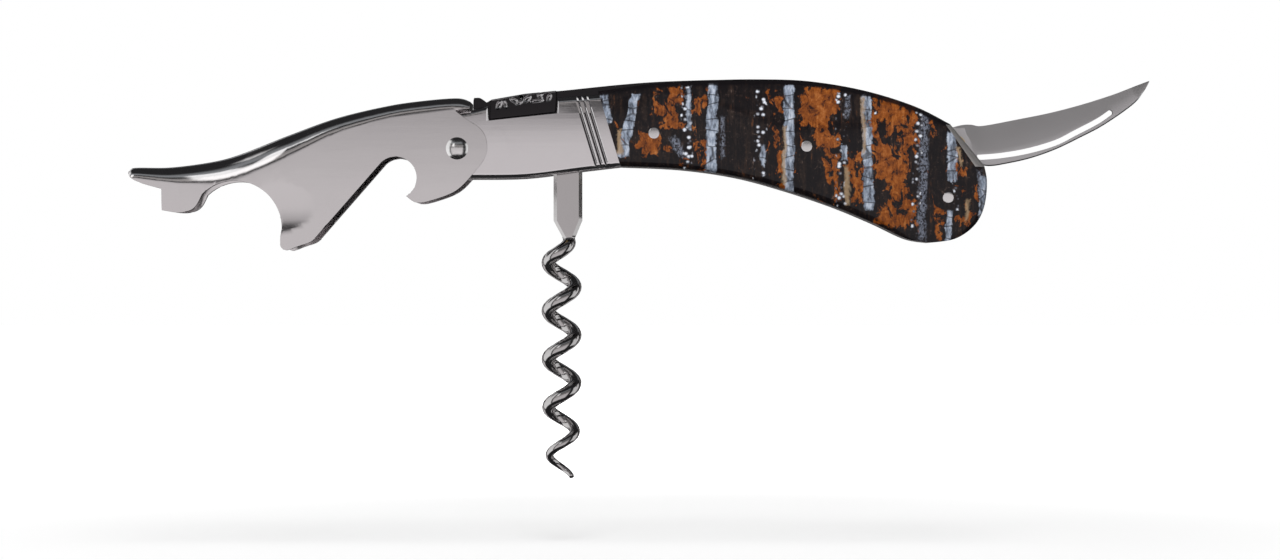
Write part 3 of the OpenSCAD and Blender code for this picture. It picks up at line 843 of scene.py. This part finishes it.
# (place along the block, drop from its back, radius, stretch, lean in radians)
leaves = [(-13.5, 1.5, 0.8, 1.7, 0.5), (-12.2, 1.6, 0.5, 2.2, -0.3), (-10.2, 1.2, 0.7, 1.8, -1.1),
          (-9.2, 1.9, 0.5, 2.0, 1.2), (-7.4, 1.3, 0.8, 1.7, 0.9), (-5.2, 1.9, 0.55, 2.9, 1.45),
          (-4.6, 1.0, 0.6, 1.6, -0.8), (-2.6, 1.4, 0.7, 1.6, 0.4)]
for side in (-1, 1):
    for x, drop, radius, tall, lean in leaves:
        combine(block, scoop(x, height_at(spring_back, x) - drop, side, radius, 0.42, tall, lean))
for x, lean in ((-12.4, 0.5), (-10.2, -0.5), (-7.8, 0.5), (-5.6, -0.5), (-3.3, 0.5)):
    combine(block, file_cut(x, lean, 0.8, 0.45))
clean(block, 0.01)
round_edges(block, 0.05, 1, 25)
front_pin = pin_place("front_pin")
lobe = peg(front_pin.x, front_pin.y, 2.9, -spring_reach, spring_reach)
stem = [(17.4, 75.5), (17.4, 80.9), (23.2, 81.4), (23.2, 75.5)]
combine(lobe, as_object(slab(stem, -spring_reach, spring_reach)), "UNION")
combine(spring, lobe, "UNION")
round_edges(spring, 0.25, 2)
combine(spring, block, "UNION")
clean(spring, 0.005)
# The spring takes the near-black painted-shade steel; only its filed faces get the bright filed steel.
finish_piece(spring, "filed_main_spring", "handle", spring_steel, ["main_spring"], 25)
spring.data.materials.append(filed_steel)
for face in spring.data.polygons:
    spot = face.center / MM
    filed = -15.2 < spot.x < -1.2 and spot.z > height_at(spring_back, spot.x) - 2.3
    if filed and abs(face.normal.y) < 0.97 and abs(spot.y) > spring_reach + 0.1:
        face.material_index = 1
print("filed faces:", sum(face.material_index for face in spring.data.polygons))

# %% [markdown]
# ## The worm
#
# The worm begins as a flat shank, narrows, and winds into a round wire that thins to a point. It is
# one loft: each ring is a chamfered oblong at the top and a circle further down, on a line that is
# straight first and then a helix. The helix turns right-handed, like any screw.

# %% The worm's line, wire and shank
worm_pivot = Vector((pivot["worm_fold"].x, pivot["worm_fold"].z))
pitch, coil_reach = 10.6, 2.9
wire, point = 1.5, 0.45


def coil_place(z):
    """The wire's middle at a height, and the direction out from the worm's axis."""
    turn = math.tau * (z - 41.9) / pitch
    reach = coil_reach - 0.5 * (1 - min(1, max(0, z / 9))) - 1.3 * min(1, max(0, (z - 48.5) / 4.3))
    out = Vector((math.cos(turn), math.sin(turn), 0))
    return out * reach + Vector((0, 0, z)), out


def wire_radius(z):
    """The wire's own radius at a height: full above, and drawn out to a point below."""
    return point + (wire - point) * min(1, max(0, (z + 0.5) / 17.5)) ** 0.75


def worm_ring(z, round_share):
    """Sixteen points round the worm at a height: oblong with chamfers, or round, or between."""
    shank_x = 1.4 + 0.2 * ease(-z, -56.6, -52.6)
    half = 3.15 - 1.9 * min(1, max(0, (56.5 - z) / 4.0))
    half = min(half, math.sqrt(max(0.04, 3.15 ** 2 - max(0, z - worm_pivot.y) ** 2)))
    centre, out = coil_place(z)
    ahead = (coil_place(z - 0.05)[0] - centre).normalized()
    side = (out - ahead * out.dot(ahead)).normalized()
    middle = Vector((shank_x, 0, z)).lerp(centre, round_share)
    side = Vector((1, 0, 0)).lerp(side, round_share).normalized()
    depth = Vector((0, 0, -1)).lerp(ahead, round_share).normalized().cross(side)
    cut, thick, radius = 0.75, 1.5, wire_radius(z)
    flat = [(half, 0), (half, 0.44), (half, thick - cut), (half - cut, thick), (0, thick),
            (cut - half, thick), (-half, thick - cut), (-half, 0.44)]
    flat = flat + [(-p, -q) for p, q in flat]
    angles = [0, 20, 42, 64, 90, 116, 138, 160]
    circle = [(radius * math.cos(math.radians(a)), radius * math.sin(math.radians(a))) for a in angles]
    circle = circle + [(-p, -q) for p, q in circle]
    ring = [(p + (r - p) * round_share, q + (s - q) * round_share) for (p, q), (r, s) in zip(flat, circle)]
    return [middle + side * p + depth * q for p, q in ring]


heights = [worm_pivot.y + 3.12 - 0.03 * i * i for i in range(8)]
heights += [72.5 - 1.5 * i for i in range(11)] + [56.5 - 0.5 * i for i in range(6)]
heights += [53.6 - 0.3 * i for i in range(179)]
worm = as_object(loft([worm_ring(z, ease(z, 53.2, 51.0)) for z in heights if z > -0.1]))
bm = bmesh.new()
bm.from_mesh(worm.data)
tip = [f for f in bm.faces if f.calc_center_median().z < 0.6 and len(f.verts) > 4]
for f in tip:
    bmesh.ops.poke(bm, faces=[f], offset=0.35)
bm.to_mesh(worm.data)
bm.free()
combine(worm, peg(worm_pivot.x, worm_pivot.y, 1.55, -4, 4))
finish_piece(worm, "wound_worm", "worm", worm_steel, ["worm"], 34)

# %% [markdown]
# ## The foil blade
#
# The blade is flat, with one edge ground thin, and a long slot runs beside its back. It is lofted
# from heel to tip as ribs of ten corners. On either side these are the back and its chamfer, the
# grind line, a point halfway down the bevel, and the edge. The round tang is an added disc, and the
# slot is cut last.

# %% Blade, tang and nail slot
blade_pivot = Vector((pivot["blade_fold"].x, pivot["blade_fold"].z))
blade_edge = smooth([(85.9, 77), (88.2, 77.55), (90.2, 77.6), (91.6, 77.3), (94, 77.55), (100, 78.7),
                     (107, 80.1), (114, 81.9), (121, 84.1), (126.2, 86.1), (129.4, 87.3)], 10)
blade_back = smooth([(88.5, 70.2), (91, 69.2), (94, 68.5), (98.2, 69.1), (103.4, 70.3), (108.7, 72.2),
                     (113.9, 74.7), (119.2, 77.5), (125.5, 81.9), (128, 84.8), (129.35, 87.15)], 10)
blade_half, grind, edge_half, bevel_slope = 0.85, 0.62, 0.14, 0.115


def along(line, share):
    """A place on a line at a share of its length."""
    lengths = [(b - a).length for a, b in zip(line, line[1:])]
    left = share * sum(lengths)
    for a, b, length in zip(line, line[1:], lengths):
        if left <= length:
            return a.lerp(b, left / length)
        left -= length
    return line[-1]


def rib(share):
    """The blade's section at a share of its length."""
    edge, back = along(blade_edge, share), along(blade_back, share)
    height = (back - edge).length
    ground = edge.lerp(back, grind)
    thick = blade_half * min(1.0, 0.25 + height / 4)
    heel = edge.lerp(back, 1 - min(0.25, 0.1 * height) / height)
    sharp = max(edge_half, thick - bevel_slope * height * grind)
    midway = edge.lerp(ground, 0.5)
    half = [(back, thick - 0.22), (heel, thick), (ground, thick), (midway, (thick + sharp) * 0.51),
            (edge, sharp)]
    ring = [(p, -y) for p, y in half] + [(p, y) for p, y in reversed(half)]
    return [(p.x, y, p.y) for p, y in ring]


blade = as_object(loft([rib(i / 90) for i in range(90)] + [rib(0.996)]))
tang = peg(blade_pivot.x, blade_pivot.y, 4.7, -blade_half, blade_half, 64)
neck = [(86, 76.7), (88.6, 76.9), (91, 69.6), (87, 68.4)]
combine(tang, as_object(slab(neck, -blade_half, blade_half)), "UNION")
combine(blade, tang, "UNION")
slot_half = 0.6
slot_line = smooth([(91.4, 70.4), (96.4, 70.8), (102.4, 71.8), (108.6, 73.6), (113, 75.8),
                    (117.8, 78.3), (120.6, 80.2)])
upper, lower = [], []
for i, q in enumerate(slot_line):
    d = (slot_line[min(i + 1, len(slot_line) - 1)] - slot_line[max(i - 1, 0)]).normalized()
    across = Vector((-d.y, d.x)) * slot_half
    upper.append(q + across)
    lower.append(q - across)
combine(blade, as_object(slab(upper + lower[::-1], -3, 3)))
combine(blade, peg(slot_line[-1].x, slot_line[-1].y, slot_half, -3, 3, 24))
combine(blade, peg(blade_pivot.x, blade_pivot.y, 1.55, -4, 4))
clean(blade, 0.01)
round_edges(blade, 0.09, 2, 50)
finish_piece(blade, "ground_foil_blade", "blade", blade_steel, ["blade"], 20)

# %% Scale pins, sanded flush
for name in ("front_pin", "middle_pin", "rear_pin"):
    place = pin_place(name)
    reach = skin(place.x, place.y)
    crown = dome(1.2, 0.05, reach, 5) + [(1.25, reach - 0.05)]
    pin = turned([(r, -y) for r, y in crown] + list(reversed(crown)), place)
    for v in pin.data.vertices:
        lean = skin(v.co.x, v.co.z) - reach
        v.co.y += lean if v.co.y > 0 else -lean
    finish_piece(pin, "flush_" + name, "handle", pin_steel, [name], 50)

# %% [markdown]
# ## What stays as the CAD made it
#
# Liners, washers, spacers and hidden pins already have their right shape. They only need a finish:
# satin steel for the plates, brass for the washers, and the pins' own steel. One loop goes through
# them, so no part of the frame is left with a flat colour.

# %% Finishes for the carried parts
finishes = {"liner": plate_steel, "spring": plate_steel, "spacer": plate_steel, "washer": brass,
            "pin": pin_steel}
carried = [name for name, node in frame["nodes"].items() if not node.hide_render]
for name in carried:
    kind = name.rsplit("_", 1)[-1]
    slots = frame["nodes"][name].data.materials
    slots.clear()
    slots.append(finishes[kind])
print("carried parts:", ", ".join(sorted(carried)))

# %% [markdown]
# ## Camera, floor and light
#
# Polished metal is lit with large plain surfaces, not with bright points. A broad warm-grey card
# stands behind the camera, and flat steel shows nothing but that. A white card higher up on the left
# gives the streak on the lever's shoulder. Between them the room is dark, which draws the black
# lines along every rounded edge. A black flag hangs straight behind the tool, so that edges that
# turn away go dark too. The cards could be meshes that glow, but painted into the world by
# direction they cost no noise. The floor and the background are lit on their own, almost white.

# %% Camera
scene = bpy.context.scene
low, high = cad_box[0], cad_box[1]
centre = (Vector(low) + Vector(high)) / 2
eye = bpy.data.cameras.new("camera")
eye.lens, eye.sensor_width = 110, 36
eye.clip_end = 20
camera = bpy.data.objects.new("camera", eye)
distance = 0.8606  # metres, where the open tool takes four fifths of the picture's width
camera.location = (centre.x, -distance, centre.z)
camera.rotation_euler = (math.pi / 2, 0, 0)
scene.collection.objects.link(camera)
scene.camera = camera
print("camera looks at", [round(v / MM, 1) for v in centre])


# %% Fill lights for what isn't metal
def fill(name, place, size, glow):
    """A soft panel that lights paper and tooth. Steel doesn't mirror it."""
    light = bpy.data.lights.new(name, "AREA")
    light.shape = "RECTANGLE"
    light.size, light.size_y = size
    light.energy = glow * math.pi * size[0] * size[1]
    thing = bpy.data.objects.new(name, light)
    thing.location = place
    aim = Vector((centre.x, 0, 0.06)) - Vector(place)
    thing.rotation_euler = aim.to_track_quat("-Z", "Y").to_euler()
    thing.visible_glossy = False
    thing.visible_camera = False
    scene.collection.objects.link(thing)


fill("front fill", (centre.x - 0.2, -1.2, 0.35), (1.0, 0.7), 6.5)
fill("back fill", (centre.x, 1.25, 0.35), (1.0, 0.7), 5.0)
fill("overhead fill", (centre.x, -0.38, 1.15), (0.4, 1.0), 4.0)


# %% The room that the steel mirrors
world = bpy.data.worlds.new("studio")
scene.world = world
world.use_nodes = True
room = Wiring(world.node_tree)
towards = room.add("ShaderNodeSeparateXYZ", Vector=room.add("ShaderNodeTexCoord").outputs["Generated"])
side = room.math("ARCTAN2", towards.outputs[0], room.math("ABSOLUTE", towards.outputs[1]))
side = room.math("MULTIPLY", side, 180 / math.pi)
rise = room.math("MULTIPLY", room.math("ARCSINE", towards.outputs[2]), 180 / math.pi)


def within(value, low, high, soft):
    """One between two angles in degrees, with soft ends."""
    return room.math("MULTIPLY", room.step(value, low, low + soft), room.step(value, high, high - soft))


def card(left, right, low, high, soft, glow_low, glow_high, tint, turn_at=None):
    """A panel between two bearings and two heights, with its glow at its foot and at its head."""
    shape = room.math("MULTIPLY", within(side, left, right, soft[0]), within(rise, low, high, soft[1]))
    glow = room.step(rise, *(turn_at or (low, high)), glow_low, glow_high)
    return room.blend(room.math("MULTIPLY", shape, glow), colour(0, 0, 0), colour(*tint))


cards = [
    card(-50, 47, -44, 10, (8, 3), 0.60, 0.40, (1.0, 0.955, 0.965), (0, 9)),
    card(-56, 50, -40, -2, (8, 5), 0.10, 0.0, (0.96, 0.97, 1.0)),
    card(-60, 50, 11, 27, (8, 4), 0.36, 0.20, (1.0, 0.95, 0.93)),
    card(-38, -19.5, 12, 38, (3, 5), 0.95, 1.1, (1.0, 1.0, 1.0)),
    card(-62, 50, 29, 52, (10, 9), 0.30, 0.12, (0.92, 0.96, 1.0)),
    card(-97, -54, -50, 55, (5, 10), 0.95, 0.8, (1.0, 1.0, 1.0)),
    card(64, 96, -32, 34, (4, 8), 0.75, 0.7, (1.0, 1.0, 1.0)),
]
seen = colour(0.02, 0.02, 0.021)
for one in cards:
    seen = room.blend(1.0, seen, one, "ADD")
flag = room.step(towards.outputs[1], 0.76, 0.9, 1.0, 0.05)
seen = room.blend(1.0, seen, flag, "MULTIPLY")
paths = room.add("ShaderNodeLightPath")
mirrored = room.add("ShaderNodeBackground", Color=seen, Strength=1.0)
plain = room.add("ShaderNodeBackground", Color=(1, 1, 1, 1), Strength=1.0)
ambient = room.add("ShaderNodeBackground", Color=(1, 1, 1, 1), Strength=0.25)
behind = room.add("ShaderNodeMixShader", **{"0": paths.outputs["Is Glossy Ray"], "1": ambient.outputs[0],
                                            "2": mirrored.outputs[0]})
behind = room.add("ShaderNodeMixShader", **{"0": paths.outputs["Is Camera Ray"], "1": behind.outputs[0],
                                            "2": plain.outputs[0]})
room.plug(room.nodes["World Output"], "Surface", behind.outputs[0])
scene.view_settings.view_transform = "Standard"
print("room:", len(cards), "cards")

# %% A pale floor
bm = bmesh.new()
bmesh.ops.create_grid(bm, x_segments=2, y_segments=2, size=4.0)
floor_mesh = bpy.data.meshes.new("floor")
bm.to_mesh(floor_mesh)
bm.free()
floor = bpy.data.objects.new("floor", floor_mesh)
floor.location = (centre.x, 0, -0.014)
scene.collection.objects.link(floor)
paper = Wiring.of_material("floor paper")
from_middle = paper.add("ShaderNodeVectorMath", **{"0": paper.place})
from_middle.operation = "LENGTH"
glow = paper.step(from_middle.outputs["Value"], 0.1, 0.5, 0.2, 1.0)
paper.set(Base_Color=colour(0.9, 0.9, 0.9), Roughness=0.9)
paper.set(Emission_Color=colour(1, 1, 1), Emission_Strength=glow)
floor.data.materials.append(paper.material)
floor.visible_glossy = False
floor.visible_diffuse = False
